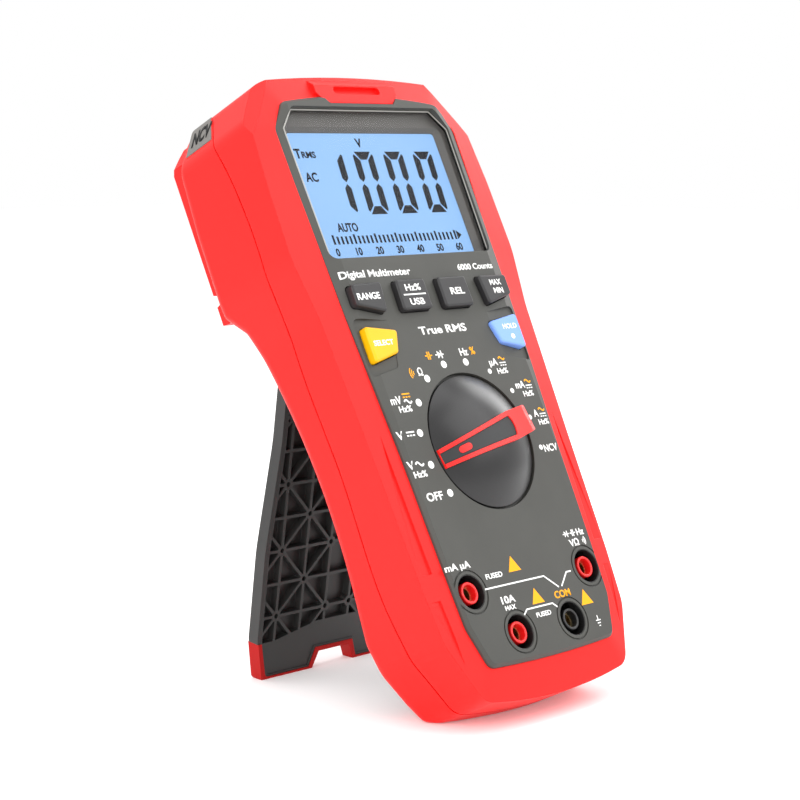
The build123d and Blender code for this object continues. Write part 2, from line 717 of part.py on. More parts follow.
with BuildPart(METER) as detent_balls:
    with PolarLocations(13.0, 2, start_angle=90):
        with Locations((0, 0, -5.35)):
            Sphere(1.2)
detent_balls.part.label = "detent_balls"
pieces.append(detent_balls)

with BuildPart() as detent_ring:
    with BuildSketch(METER.offset(-4.1)):
        Circle(15.5)
        Circle(10.5, mode=Mode.SUBTRACT)
        with PolarLocations(13.0, 16, start_angle=90):
            Circle(0.8, mode=Mode.SUBTRACT)
    extrude(amount=0.5)
detent_ring.part.label = "detent_ring"
pieces.append(detent_ring)

with BuildPart() as rotor_wipers:
    for radius in (7.5, 10.5, 13.5):
        with BuildSketch(METER.offset(-8.4)):
            with PolarLocations(radius, 3, start_angle=30):
                SlotOverall(3.2, 1.0, rotation=90)
        extrude(amount=1.2)
rotor_wipers.part.label = "rotor_wipers"
pieces.append(rotor_wipers)

with BuildPart() as contact_tracks:
    for radius in (7.5, 10.5, 13.5):
        with BuildSketch(METER.offset(BOARD_FRONT_Z)):
            Circle(radius + 0.9)
            Circle(radius - 0.9, mode=Mode.SUBTRACT)
        extrude(amount=0.15)
contact_tracks.part.label = "contact_tracks"
pieces.append(contact_tracks)

# ================= sockets =================

with BuildPart() as socket_housing:
    with BuildSketch(METER.offset(-22.8)):
        for x, y in JACK_POINTS.values():
            with Locations((x, y)):
                Circle(JACK_HOLE_R + 1.2)
    extrude(amount=22.8 - 7.1)
    with BuildSketch(METER.offset(-22.8)):
        for x, y in JACK_POINTS.values():
            with Locations((x, y)):
                Circle(JACK_HOLE_R + 0.05)
    extrude(amount=22.8, mode=Mode.SUBTRACT)
    with BuildSketch(METER.offset(-22.8)):
        with BuildLine():
            Polyline((-30.9, -40.9), (-24.7, -35.0), (24.7, -35.0), (30.9, -40.9), (14.5, -59.4), (-14.5, -59.4),
                     close=True)
        make_face()
        for x, y in JACK_POINTS.values():
            with Locations((x, y)):
                Circle(JACK_BORE_R + 0.3, mode=Mode.SUBTRACT)
    extrude(amount=1.4)
socket_housing.part.label = "socket_housing"
pieces.append(socket_housing)

for name, (x, y) in JACK_POINTS.items():
    with BuildPart() as jack_post:
        with BuildSketch(METER.offset(-21.4)):
            with Locations((x, y)):
                Circle(3.1)
                Circle(JACK_BORE_R + 0.3, mode=Mode.SUBTRACT)
        extrude(amount=21.4 - 0.6)
        fillet(edges().group_by(DEPTH)[-1], radius=0.3)
    jack_post.part.label = f"jack_post_{name}"
    pieces.append(jack_post)

with BuildPart() as socket_contacts:
    for x, y in JACK_POINTS.values():
        with BuildSketch(METER.offset(-23.4)):
            with Locations((x, y)):
                Circle(JACK_BORE_R + 0.3)
                Circle(JACK_BORE_R, mode=Mode.SUBTRACT)
        extrude(amount=23.4 - 3.0)
socket_contacts.part.label = "socket_contacts"
pieces.append(socket_contacts)

with BuildPart(METER) as current_shunt:
    with Locations((-4.5, -50, -12.2), (4.5, -50, -12.2)):
        Box(1.4, 1.4, 3.6)
    with Locations((0, -50, -14.0)):
        Box(10.4, 1.4, 1.4)
current_shunt.part.label = "current_shunt"
pieces.append(current_shunt)

# ================= board and its parts =================

with BuildPart() as main_board:
    extrude(casing_outline(METER.offset(BOARD_FRONT_Z), 6.5), amount=-BOARD_T)
    with BuildSketch(METER.offset(BOARD_FRONT_Z)):
        for x, y in JACK_POINTS.values():
            with Locations((x, y)):
                Circle(JACK_HOLE_R + 1.5)
        for x, y, back in CASE_SCREWS:
            with Locations((x, y), (-x, y)):
                Circle(3.6)
    extrude(amount=-BOARD_T, mode=Mode.SUBTRACT)
main_board.part.label = "main_board"
pieces.append(main_board)

board_back = BOARD_FRONT_Z - BOARD_T

with BuildPart(METER) as chips:
    with Locations((-14, 80, board_back - 0.8)):
        Box(12, 12, 1.6)
    with Locations((12, 82, board_back - 0.8)):
        Box(10, 10, 1.6)
    with Locations((0, 66, board_back - 0.7)):
        Box(8, 5, 1.4)
chips.part.label = "chips"
pieces.append(chips)

with BuildPart(METER) as shield_plate:
    with Locations((-14, 80, board_back - 2.6)):
        Box(17, 17, 0.4)
    with Locations((-21.5, 80, board_back - 1.2), (-6.5, 80, board_back - 1.2)):
        Box(0.4, 17, 2.4)
shield_plate.part.label = "shield_plate"
pieces.append(shield_plate)

with BuildPart(METER) as buzzer:
    with Locations((20, 66, board_back - 2.0)):
        Cylinder(6.0, 4.0)
        Cylinder(1.2, 4.0, mode=Mode.SUBTRACT)
buzzer.part.label = "buzzer"
pieces.append(buzzer)

with BuildPart(METER) as varistors:
    with Locations((-29.6, -24, board_back - 3.2), (29.6, -24, board_back - 3.2)):
        Cylinder(3.2, 2.2, rotation=(90, 0, 0))
varistors.part.label = "varistors"
pieces.append(varistors)

with BuildPart(METER) as capacitors:
    with Locations((-30.5, 32, board_back - 3.0), (-30.5, 25, board_back - 3.0), (30.5, 28, board_back - 3.0)):
        Cylinder(2.6, 6.0)
capacitors.part.label = "capacitors"
pieces.append(capacitors)

with BuildPart(METER) as sensor_board:
    with Locations((0, 104.2, -17.5)):
        Box(52, 1.0, 11)
sensor_board.part.label = "sensor_board"
pieces.append(sensor_board)

# ================= fuses =================

FUSE_Z = board_back - 6.2
FUSES = {"fuse_10a": (-9.5, 19.0), "fuse_ma": (18.5, 16.0)}
FUSE_Y = -30.4
FUSE_R = 3.2

for name, (x, length) in FUSES.items():
    with BuildPart(METER) as fuse:
        with Locations((x, FUSE_Y, FUSE_Z)):
            Cylinder(FUSE_R - 0.25, length - 0.2, rotation=(0, 90, 0))
    fuse.part.label = name
    pieces.append(fuse)

with BuildPart(METER) as fuse_caps:
    for x, length in FUSES.values():
        for side in (-1, 1):
            with Locations((x + side * (length / 2 + 2.4), FUSE_Y, FUSE_Z)):
                Cylinder(FUSE_R, 5.0, rotation=(0, 90, 0))
fuse_caps.part.label = "fuse_caps"
pieces.append(fuse_caps)

with BuildPart(METER) as fuse_clips:
    for x, length in FUSES.values():
        for side in (-1, 1):
            with Locations((x + side * (length / 2 + 2.4), FUSE_Y, FUSE_Z + 1.2)):
                Box(3.0, 2 * FUSE_R + 1.0, 2 * FUSE_R)
            with Locations((x + side * (length / 2 + 2.4), FUSE_Y, FUSE_Z)):
                Cylinder(FUSE_R, 5.0, rotation=(0, 90, 0), mode=Mode.SUBTRACT)
            with Locations((x + side * (length / 2 + 2.4), FUSE_Y, FUSE_Z - FUSE_R)):
                Box(5.0, 2 * FUSE_R - 1.2, 2 * FUSE_R, mode=Mode.SUBTRACT)
            with Locations((x + side * (length / 2 + 2.4), FUSE_Y, board_back - 1.0)):
                Box(3.0, 3.0, 2.0)
fuse_clips.part.label = "fuse_clips"
pieces.append(fuse_clips)

# ================= battery =================

CELL_XS = [CELL_PITCH * k for k in (-1.5, -0.5, 0.5, 1.5)]

with BuildPart(METER) as battery_tray:
    with Locations((0, TRAY_Y, (TRAY_FRONT_Z - 23.8) / 2)):
        Box(TRAY[0], TRAY[1], 23.8 + TRAY_FRONT_Z)
    with Locations((0, TRAY_Y, (TRAY_FRONT_Z - 1.0 - 24) / 2)):
        Box(TRAY[0] - 2, TRAY[1] - 2, 23 + TRAY_FRONT_Z, mode=Mode.SUBTRACT)
battery_tray.part.label = "battery_tray"
pieces.append(battery_tray)

with BuildPart(METER) as battery_cells:
    for k, x in enumerate(CELL_XS):
        with Locations((x, TRAY_Y, CELL_Z)):
            Cylinder(CELL_R, CELL_LENGTH - 1, rotation=(90, 0, 0))
        with Locations((x, TRAY_Y + (CELL_LENGTH / 2 - 0.1) * (-1) ** k, CELL_Z)):
            Cylinder(1.9, 0.8, rotation=(90, 0, 0))
battery_cells.part.label = "battery_cells"
pieces.append(battery_cells)

with BuildPart(METER) as battery_contacts:
    for end in (-1, 1):
        for x in CELL_XS:
            with Locations((x, TRAY_Y + end * (TRAY[1] / 2 - 1.15), CELL_Z)):
                Box(9.0, 0.3, 8.0)
    for k, x in enumerate(CELL_XS):
        reach = TRAY[1] / 2 - 1.3 - (CELL_LENGTH / 2 + 0.3)
        with Locations((x, TRAY_Y + (-1) ** k * (CELL_LENGTH / 2 + 0.3 + reach / 2), CELL_Z)):
            Cylinder(1.6, reach, rotation=(90, 0, 0))
battery_contacts.part.label = "battery_contacts"
pieces.append(battery_contacts)


SPRING_LENGTH = (TRAY[1] - CELL_LENGTH + 1) / 2 - 1.3

with BuildPart() as coil:
    with BuildLine():
        turns = Helix(pitch=SPRING_LENGTH / 3, height=SPRING_LENGTH - 0.6, radius=2.6)
    with BuildSketch(Plane(origin=turns @ 0, z_dir=turns % 0)):
        Circle(0.3)
    sweep(is_frenet=True)

with BuildPart() as battery_springs:
    for k, x in enumerate(CELL_XS):
        end = -(-1) ** k
        base = METER.from_local_coords(Vector(x, TRAY_Y + end * (TRAY[1] / 2 - 1.6), CELL_Z))
        add(Plane(origin=base, x_dir=METER.x_dir, z_dir=METER.y_dir * -end) * coil.part)
battery_springs.part.label = "battery_springs"
pieces.append(battery_springs)

with BuildPart() as battery_door:
    with BuildSketch(METER.offset(POCKET_Z)):
        with Locations((0, sum(DOOR_Y) / 2)):
            RectangleRounded(2 * DOOR_HALF + 2.7, DOOR_Y[1] - DOOR_Y[0] + 2.7, 1.9)
        with Locations((0, DOOR_SCREW_Y - 1.5)):
            RectangleRounded(9.6, 10.4, 1.9)
    extrude(amount=1.2)
    with BuildSketch(METER.offset(POCKET_Z + 1.2)):
        with Locations((0, sum(DOOR_Y) / 2)):
            Rectangle(2 * DOOR_HALF - 0.4, DOOR_Y[1] - DOOR_Y[0] - 0.4)
    extrude(amount=0.8)
    with BuildSketch(METER.offset(POCKET_Z)):
        with Locations((0, DOOR_SCREW_Y)):
            Circle(SCREW_R + 0.2)
        with Locations(*[(0, y) for y in (-14, -10.5, -7)]):
            SlotOverall(18, 1.2)
    extrude(amount=0.5, mode=Mode.SUBTRACT)
    with BuildSketch(METER.offset(POCKET_Z)):
        with Locations((0, DOOR_SCREW_Y)):
            Circle(SCREW_R + 0.2)
    extrude(amount=3, mode=Mode.SUBTRACT)
battery_door.part.label = "battery_door"
pieces.append(battery_door)

with BuildPart() as door_screw:
    with BuildSketch(METER.offset(POCKET_Z)):
        with Locations((0, DOOR_SCREW_Y)):
            Circle(2.4)
            Rectangle(3.4, 0.7, mode=Mode.SUBTRACT)
    extrude(amount=-0.6)
    with BuildSketch(METER.offset(POCKET_Z)):
        with Locations((0, DOOR_SCREW_Y)):
            Circle(SCREW_R)
    extrude(amount=4.5)
door_screw.part.label = "door_screw"
pieces.append(door_screw)

# ================= stand =================

STAND_END_Y = -(stand_length + 0.35)
FOOT_TOP_Y = -94.0
FOOT_BAND = 1.3
PIN_PLANE = Plane(origin=STAND.origin, x_dir=STAND.y_dir, z_dir=STAND.x_dir)


def stand_outline(plane, inset=0.0):
    """Outline of the stand, hinge end up, with the notch in its foot."""
    with BuildSketch(plane) as face:
        with BuildLine():
            FilletPolyline((0, -inset), (29.5 - inset, -inset), (29.5 - inset, -34), (32.2 - inset, -66),
                           (32.0 - inset, -93), (29.1 - inset, STAND_END_Y + inset), (0, STAND_END_Y + inset),
                           radius=[0.5, 60, 60, 10, 1.5])
            mirror(about=Plane.YZ)
        make_face()
        with BuildLine():
            Polyline((-FOOT_NOTCH - inset, STAND_END_Y - 1), (FOOT_NOTCH + inset, STAND_END_Y - 1),
                     (6.4 + inset, -100.2 + inset), (-6.4 - inset, -100.2 + inset), close=True)
        make_face(mode=Mode.SUBTRACT)
    return face.sketch


def lattice():
    """Face-on shape of the ribs moulded into the stand's front, with round hubs where they meet."""
    rows = range(9)
    with BuildSketch() as ribs:
        with Locations(*[(0, HUB_ROW_Y + row * RIB_PITCH) for row in rows]):
            Rectangle(64, 0.9)
        with Locations(*[(x, -47) for x in range(-25, 26, 10)]):
            Rectangle(0.9, 96)
        for row in range(-1, 9):
            for side in (-1, 1):
                for k in range(3):
                    slope = side * (1 - 2 * ((row + k) % 2))
                    spot = Location((side * (10 + 10 * k), HUB_ROW_Y + (row + 0.5) * RIB_PITCH), 45 * slope)
                    with Locations(spot):
                        Rectangle(14.6, 0.9)
        hubs = [(x, HUB_ROW_Y + row * RIB_PITCH) for row in rows for x in range(-25, 26, 10)
                if (row + abs(x) // 10) % 2 == 0]
        with Locations(*hubs):
            Circle(1.7)
        with Locations(*hubs):
            Circle(0.75, mode=Mode.SUBTRACT)
        with BuildLine():
            Polyline((-33, -1), (-33, -94.3), (-25, -94.3), (-8, -90.8), (8, -90.8), (25, -94.3), (33, -94.3),
                     (33, -1), close=True)
        make_face(mode=Mode.INTERSECT)
    return ribs.sketch


with BuildPart() as bench:
    Box(300, 400, 30, align=(Align.CENTER, Align.CENTER, Align.MAX))

with BuildPart() as stand_foot:
    extrude(stand_outline(STAND.offset(-2.3)), amount=4.5)
    extrude(stand_outline(STAND.offset(-3), FOOT_BAND), amount=8, mode=Mode.SUBTRACT)
    with BuildSketch(STAND.offset(-3)):
        with Locations((0, FOOT_TOP_Y + 60)):
            Rectangle(100, 120)
    extrude(amount=8, mode=Mode.SUBTRACT)
    add(bench.part, mode=Mode.SUBTRACT)
stand_foot.part.label = "stand_foot"
pieces.append(stand_foot)

with BuildPart() as tilt_stand:
    extrude(stand_outline(STAND.offset(-2.0)), amount=STAND_T)
    extrude(stand_outline(STAND.offset(-0.8), 1.8), amount=6, mode=Mode.SUBTRACT)
    with BuildSketch(STAND.offset(-0.9)):
        add(lattice())
        with BuildLine():
            Polyline((-33, STAND_END_Y), (-33, -94), (-25, -94), (-8, -90.6), (8, -90.6), (25, -94), (33, -94),
                     (33, STAND_END_Y), close=True)
        make_face()
        add(stand_outline(Plane.XY, 1.0), mode=Mode.INTERSECT)
    extrude(amount=2.4)
    with BuildSketch(PIN_PLANE):
        Circle(STAND_BARREL_R)
    extrude(amount=29.5, both=True)
    for side in (-1, 1):
        with BuildSketch(PIN_PLANE.offset(side * 23.5)):
            Circle(HINGE_PIN_R + RUNNING_GAP)
        extrude(amount=side * 10, mode=Mode.SUBTRACT)
    add(stand_foot.part, mode=Mode.SUBTRACT)
    add(bench.part, mode=Mode.SUBTRACT)
tilt_stand.part.label = "tilt_stand"
pieces.append(tilt_stand)

with BuildPart() as hinge_pins:
    for side in (-1, 1):
        with BuildSketch(PIN_PLANE.offset(side * 24)):
            Circle(HINGE_PIN_R)
        extrude(amount=side * (POCKET_HALF + 4 - 24))
hinge_pins.part.label = "hinge_pins"
pieces.append(hinge_pins)

# ================= corner labels =================

with BuildPart() as corner_labels:
    add(casing_block(-0.25))
    add(casing_block(0), mode=Mode.SUBTRACT)
    with BuildPart(METER, mode=Mode.PRIVATE) as corners:
        with Locations(*[Location((side * 38.9, 107.7, -25.2), (0, 0, -55 * side)) for side in (-1, 1)]):
            Box(10.8, 6, 16)
    add(corners.part, mode=Mode.INTERSECT)
    add(front_of_seam(SEAM_GAP + 0.5), mode=Mode.SUBTRACT)
corner_labels.part.label = "corner_labels"
pieces.append(corner_labels)

# ================= hand over =================

os.makedirs("parts", exist_ok=True)
for piece in pieces:
    export_step(piece.part, f"parts/{piece.part.label}.step")
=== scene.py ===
import json
import math

import bmesh
import bpy
from mathutils import Matrix, Vector


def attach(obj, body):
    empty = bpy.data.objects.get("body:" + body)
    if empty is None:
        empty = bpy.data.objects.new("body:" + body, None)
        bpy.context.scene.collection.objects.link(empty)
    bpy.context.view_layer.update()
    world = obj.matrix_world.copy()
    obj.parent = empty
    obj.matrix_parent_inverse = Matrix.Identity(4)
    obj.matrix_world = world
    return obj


# Looks, printed legends and studio of a handheld digital multimeter on its tilt stand. Lengths are
# millimetres in the meter's own frame, unless a name or a comment says otherwise: x to the right, y up
# the face, z out of the face, with (0, 0, 0) at the dial's centre on the panel.

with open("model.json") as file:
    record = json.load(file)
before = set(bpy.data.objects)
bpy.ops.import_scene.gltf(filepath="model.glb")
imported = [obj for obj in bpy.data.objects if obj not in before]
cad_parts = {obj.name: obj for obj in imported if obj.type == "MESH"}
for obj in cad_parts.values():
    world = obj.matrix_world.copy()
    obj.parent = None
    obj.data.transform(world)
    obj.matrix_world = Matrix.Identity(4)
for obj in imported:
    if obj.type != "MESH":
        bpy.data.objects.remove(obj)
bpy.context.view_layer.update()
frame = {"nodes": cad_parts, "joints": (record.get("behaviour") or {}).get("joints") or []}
nodes = frame["nodes"]
joints = {joint["name"]: joint for joint in frame["joints"]}
scene = bpy.context.scene
MM = 0.001                  # metres in a millimetre


def frame_turn(x_axis, y_axis, z_axis):
    """The rotation that carries x, y and z to the three directions given."""
    return Matrix((x_axis, y_axis, z_axis)).transposed().to_4x4()


def face_to_scene(origin, z_axis):
    """Matrix that carries millimetres on the face to metres in the scene; x is the same in both."""
    z_axis = Vector(z_axis).normalized()
    x_axis = Vector((1, 0, 0))
    turn = frame_turn(x_axis, z_axis.cross(x_axis), z_axis)
    return Matrix.Translation(Vector(origin)) @ turn @ Matrix.Scale(MM, 4)


dial = joints["selector_turn"]
METER = face_to_scene(dial["pos_m"], dial["axis"])

# ---- heights that things are printed at ----
PANEL_Z = 0.0
KEY_TOP_Z = 2.1             # the four dark keys
THUMB_TOP_Z = 1.3           # the yellow and the blue key
GLASS_Z = -4.4
LIP_Z = -1.78               # the window's edge
INK = 0.05                  # thickness of printed lettering
SINK = 0.02                 # how far lettering goes into what carries it
PANEL_SLOPE = 0.3           # the panel falls away by this, per millimetre beyond PANEL_SLOPE_X
PANEL_SLOPE_X = 30.5


# ================= materials =================

GLOSS_SPREAD = 0.07         # how much a moulded surface's roughness varies, either way
GRAIN_DEPTH = 0.06


def shader(name):
    """A new node material: returns it, its surface shader, a node maker and a link maker."""
    material = bpy.data.materials.new(name)
    material.use_nodes = True
    tree = material.node_tree
    surface = tree.nodes["Principled BSDF"]

    def node(kind, **settings):
        made = tree.nodes.new(kind)
        for key, value in settings.items():
            if key in made.inputs:
                made.inputs[key].default_value = value
            else:
                setattr(made, key, value)
        return made

    return material, surface, node, tree.links.new


def moulded(name, colour, roughness, grain, bump, specular, mottle, edge=0.0):
    """Moulded plastic or rubber: fine grain, faint mottling and softened edges."""
    material, surface, node, link = shader(name)
    place = node("ShaderNodeTexCoord").outputs["Object"]
    cloud = node("ShaderNodeTexNoise", Scale=60.0, Detail=3.0, Roughness=0.6)
    link(place, cloud.inputs["Vector"])
    ramp = node("ShaderNodeValToRGB")
    for stop, factor in zip(ramp.color_ramp.elements, (1 - mottle, 1 + mottle)):
        stop.color = (*[min(1.0, c * factor) for c in colour], 1)
    ramp.color_ramp.elements[0].position = 0.35
    ramp.color_ramp.elements[1].position = 0.65
    link(cloud.outputs["Fac"], ramp.inputs["Fac"])
    link(ramp.outputs["Color"], surface.inputs["Base Color"])
    fine = node("ShaderNodeTexNoise", Scale=1 / (grain * MM), Detail=4.0, Roughness=0.65)
    link(place, fine.inputs["Vector"])
    gloss = node("ShaderNodeMapRange")
    gloss.inputs["To Min"].default_value = roughness - GLOSS_SPREAD
    gloss.inputs["To Max"].default_value = roughness + GLOSS_SPREAD
    link(fine.outputs["Fac"], gloss.inputs["Value"])
    link(gloss.outputs["Result"], surface.inputs["Roughness"])
    relief = node("ShaderNodeBump", Strength=bump, Distance=GRAIN_DEPTH * MM)
    link(fine.outputs["Fac"], relief.inputs["Height"])
    if edge:
        soft = node("ShaderNodeBevel", samples=4)
        soft.inputs["Radius"].default_value = edge * MM
        link(soft.outputs["Normal"], relief.inputs["Normal"])
    link(relief.outputs["Normal"], surface.inputs["Normal"])
    surface.inputs["Specular IOR Level"].default_value = specular
    return material


def metal(name, colour, roughness=0.3):
    """Plated or drawn metal with fine draw lines."""
    material, surface, node, link = shader(name)
    place = node("ShaderNodeTexCoord").outputs["Object"]
    lines = node("ShaderNodeTexNoise", Scale=900.0, Detail=2.0)
    stretch = node("ShaderNodeMapping")
    stretch.inputs["Scale"].default_value = (0.15, 1, 1)
    link(place, stretch.inputs["Vector"])
    link(stretch.outputs["Vector"], lines.inputs["Vector"])
    gloss = node("ShaderNodeMapRange")
    gloss.inputs["To Min"].default_value = roughness - 0.08
    gloss.inputs["To Max"].default_value = roughness + 0.12
    link(lines.outputs["Fac"], gloss.inputs["Value"])
    link(gloss.outputs["Result"], surface.inputs["Roughness"])
    tint = node("ShaderNodeValToRGB")
    tint.color_ramp.elements[0].color = (*[c * 0.85 for c in colour], 1)
    tint.color_ramp.elements[1].color = (*colour, 1)
    link(lines.outputs["Fac"], tint.inputs["Fac"])
    link(tint.outputs["Color"], surface.inputs["Base Color"])
    surface.inputs["Metallic"].default_value = 1.0
    return material


def ink(name, colour, painted_glow=0.0):
    """Screen-printed lettering, with slightly uneven coverage; a glow, where given, is painted light:
    emission that brightens the ink, which is no lamp.
    """
    material, surface, node, link = shader(name)
    place = node("ShaderNodeTexCoord").outputs["Object"]
    cover = node("ShaderNodeTexNoise", Scale=900.0, Detail=2.0)
    link(place, cover.inputs["Vector"])
    tone = node("ShaderNodeValToRGB")
    tone.color_ramp.elements[0].color = (*[c * 0.9 for c in colour], 1)
    tone.color_ramp.elements[1].color = (*colour, 1)
    link(cover.outputs["Fac"], tone.inputs["Fac"])
    link(tone.outputs["Color"], surface.inputs["Base Color"])
    surface.inputs["Roughness"].default_value = 0.55
    surface.inputs["Specular IOR Level"].default_value = 0.2
    # painted light: the ink's glow is emission, though the ink is no lamp
    if painted_glow:
        surface.inputs["Emission Color"].default_value = (*colour, 1)
        surface.inputs["Emission Strength"].default_value = painted_glow
    return material


def backlit_glass():
    """The display's pale blue backlight, with slight broad unevenness."""
    material, surface, node, link = shader("backlit display")
    place = node("ShaderNodeTexCoord").outputs["Generated"]
    blotch = node("ShaderNodeTexNoise", Scale=1.3, Detail=1.0)
    link(place, blotch.inputs["Vector"])
    tone = node("ShaderNodeValToRGB")
    tone.color_ramp.elements[0].color = (0.21, 0.45, 0.84, 1)
    tone.color_ramp.elements[1].color = (0.26, 0.51, 0.90, 1)
    link(blotch.outputs["Fac"], tone.inputs["Fac"])
    link(tone.outputs["Color"], surface.inputs["Emission Color"])
    surface.inputs["Base Color"].default_value = (0.05, 0.09, 0.16, 1)
    surface.inputs["Emission Strength"].default_value = 0.92
    surface.inputs["Roughness"].default_value = 0.3
    return material


def clear_window():
    """Clear hard-coated window: mostly see-through, with faint smears in its gloss."""
    material, surface, node, link = shader("clear window")
    place = node("ShaderNodeTexCoord").outputs["Object"]
    smear = node("ShaderNodeTexNoise", Scale=70.0, Detail=3.0)
    link(place, smear.inputs["Vector"])
    gloss = node("ShaderNodeMapRange")
    gloss.inputs["To Min"].default_value = 0.03
    gloss.inputs["To Max"].default_value = 0.10
    link(smear.outputs["Fac"], gloss.inputs["Value"])
    link(gloss.outputs["Result"], surface.inputs["Roughness"])
    surface.inputs["Base Color"].default_value = (0.02, 0.02, 0.02, 1)
    surface.inputs["Alpha"].default_value = 0.05
    surface.inputs["Specular IOR Level"].default_value = 0.4
    return material


# name, colour, roughness, grain in mm, bump, specular, mottle, softened edge in mm
M = {
    "red": moulded("red overmould", (0.86, 0.009, 0.007), 0.42, 0.3, 0.10, 0.25, 0.03, 0.35),
    "red_foot": moulded("red foot rubber", (0.42, 0.004, 0.003), 0.6, 0.3, 0.15, 0.2, 0.05),
    "red_bar": moulded("red knob plastic", (0.84, 0.016, 0.013), 0.32, 0.5, 0.04, 0.45, 0.03, 0.25),
    "panel": moulded("grey panel", (0.056, 0.056, 0.050), 0.5, 0.22, 0.22, 0.35, 0.05, 0.15),
    "shell": moulded("dark grey shell", (0.06, 0.06, 0.055), 0.55, 0.25, 0.2, 0.35, 0.06),
    "key": moulded("dark grey key", (0.019, 0.018, 0.019), 0.42, 0.2, 0.10, 0.45, 0.05, 0.3),
    "key_yellow": moulded("yellow key", (0.85, 0.43, 0.0), 0.40, 0.2, 0.08, 0.35, 0.03, 0.3),
    "key_blue": moulded("light blue key", (0.20, 0.36, 0.86), 0.40, 0.2, 0.08, 0.4, 0.03, 0.3),
    "knob": moulded("dark knob plastic", (0.012, 0.0115, 0.012), 0.30, 0.25, 0.08, 0.5, 0.05, 0.2),
    "inlay": moulded("dark grey inlay", (0.024, 0.025, 0.026), 0.45, 0.2, 0.14, 0.4, 0.05, 0.15),
    "frame": moulded("display frame", (0.085, 0.080, 0.075), 0.4, 0.2, 0.08, 0.45, 0.05, 0.3),
    "stand": moulded("stand plastic", (0.024, 0.024, 0.023), 0.42, 0.25, 0.12, 0.5, 0.06, 0.2),
    "label": moulded("grey label", (0.16, 0.15, 0.14), 0.5, 0.2, 0.05, 0.35, 0.05),
    "socket_red": moulded("red socket", (0.70, 0.008, 0.008), 0.3, 0.4, 0.05, 0.5, 0.04, 0.2),
    "socket_black": moulded("black socket", (0.010, 0.010, 0.010), 0.3, 0.4, 0.05, 0.5, 0.1, 0.2),
    "rubber": moulded("black rubber", (0.012, 0.012, 0.012), 0.7, 0.2, 0.2, 0.3, 0.1),
    "mat": moulded("keypad silicone", (0.25, 0.25, 0.24), 0.6, 0.3, 0.1, 0.3, 0.05),
    "white": moulded("white plastic", (0.75, 0.75, 0.72), 0.45, 0.4, 0.06, 0.4, 0.03),
    "board": moulded("green circuit board", (0.02, 0.16, 0.06), 0.35, 0.6, 0.1, 0.5, 0.12),
    "chip": moulded("black component", (0.018, 0.018, 0.02), 0.5, 0.2, 0.15, 0.4, 0.1),
    "blue_part": moulded("blue component", (0.03, 0.10, 0.38), 0.4, 0.4, 0.08, 0.5, 0.08),
    "ceramic": moulded("fuse ceramic", (0.80, 0.77, 0.70), 0.4, 0.5, 0.05, 0.4, 0.04),
    "cell": moulded("cell jacket", (0.06, 0.16, 0.32), 0.25, 1.0, 0.03, 0.5, 0.06),
    "tray": moulded("black tray", (0.022, 0.022, 0.022), 0.5, 0.25, 0.15, 0.4, 0.08),
    "steel": metal("screw steel", (0.62, 0.62, 0.62), 0.28),
    "nickel": metal("nickel plate", (0.72, 0.70, 0.66), 0.22),
    "brass": metal("contact brass", (0.78, 0.58, 0.28), 0.28),
    "tin": metal("tinned shield", (0.66, 0.66, 0.66), 0.38),
    "lcd": backlit_glass(),
    "window": clear_window(),
    # the white and orange legend inks glow a little: painted light, as emission on ink that is no lamp
    "ink_white": ink("white legend ink", (0.88, 0.88, 0.86), 0.12),
    "ink_orange": ink("orange legend ink", (0.95, 0.40, 0.01), 0.08),
    "ink_dark": ink("dark label ink", (0.006, 0.006, 0.006)),
    "segment": ink("display segments", (0.003, 0.004, 0.008)),
    # painted highlight: this light grey on the window's rim stands in for light reflected at the lens's
    # edge
    "painted_rim_highlight": moulded("window rim painted highlight", (0.42, 0.41, 0.38), 0.3, 0.3, 0.05, 0.6, 0.05),
}

# which nodes have which finish
FINISH = {
    "red": ["front_bumper", "rear_bumper"],
    "red_foot": ["stand_foot"],
    "red_bar": ["knob_rails", "pointer_dot"],
    "panel": ["front_case"],
    "shell": ["rear_case", "battery_door"],
    "key": ["range_button", "hertz_button", "relative_button", "maxmin_button"],
    "key_yellow": ["select_button"],
    "key_blue": ["hold_button"],
    "knob": ["selector_knob"],
    "inlay": ["knob_inlay"],
    "frame": ["display_frame"],
    "stand": ["tilt_stand"],
    "label": ["corner_labels"],
    "socket_red": ["jack_post_ma", "jack_post_10a", "jack_post_volt"],
    "socket_black": ["jack_post_common", "socket_housing"],
    "rubber": ["case_gasket", "lens_gasket", "zebra_strips"],
    "mat": ["keypad_mat"],
    "white": ["backlight", "switch_rotor", "detent_ring"],
    "board": ["main_board", "sensor_board"],
    "chip": ["chips", "buzzer"],
    "blue_part": ["varistors", "capacitors"],
    "ceramic": ["fuse_10a", "fuse_ma"],
    "cell": ["battery_cells"],
    "tray": ["battery_tray"],
    "steel": ["case_screws", "door_screw", "hinge_pins", "detent_balls", "detent_springs"],
    "nickel": ["fuse_caps", "battery_contacts", "battery_springs", "current_shunt"],
    "brass": ["socket_contacts", "fuse_clips", "rotor_wipers", "contact_tracks"],
    "tin": ["shield_plate"],
    "lcd": ["lcd_glass"],
    "window": ["display_lens"],
}
for finish, names in FINISH.items():
    for name in names:
        for slot in nodes[name].material_slots:
            slot.material = M[finish]


# ================= drawing on the face =================

SHARPEST_MITRE = 0.4        # least cosine of half a corner's turn that a mitre follows
CAPITAL = 0.70              # height of a capital in Blender's built-in face at size 1
NATURAL_WIDTH = 0.92        # how far lettering is narrowed where no width is given
WELD = 1e-5                 # points of a letter closer than this are one


def circle(x, y, r, steps):
    """Points round a circle."""
    return [(x + r * math.cos(math.tau * i / steps), y + r * math.sin(math.tau * i / steps))
            for i in range(steps)]


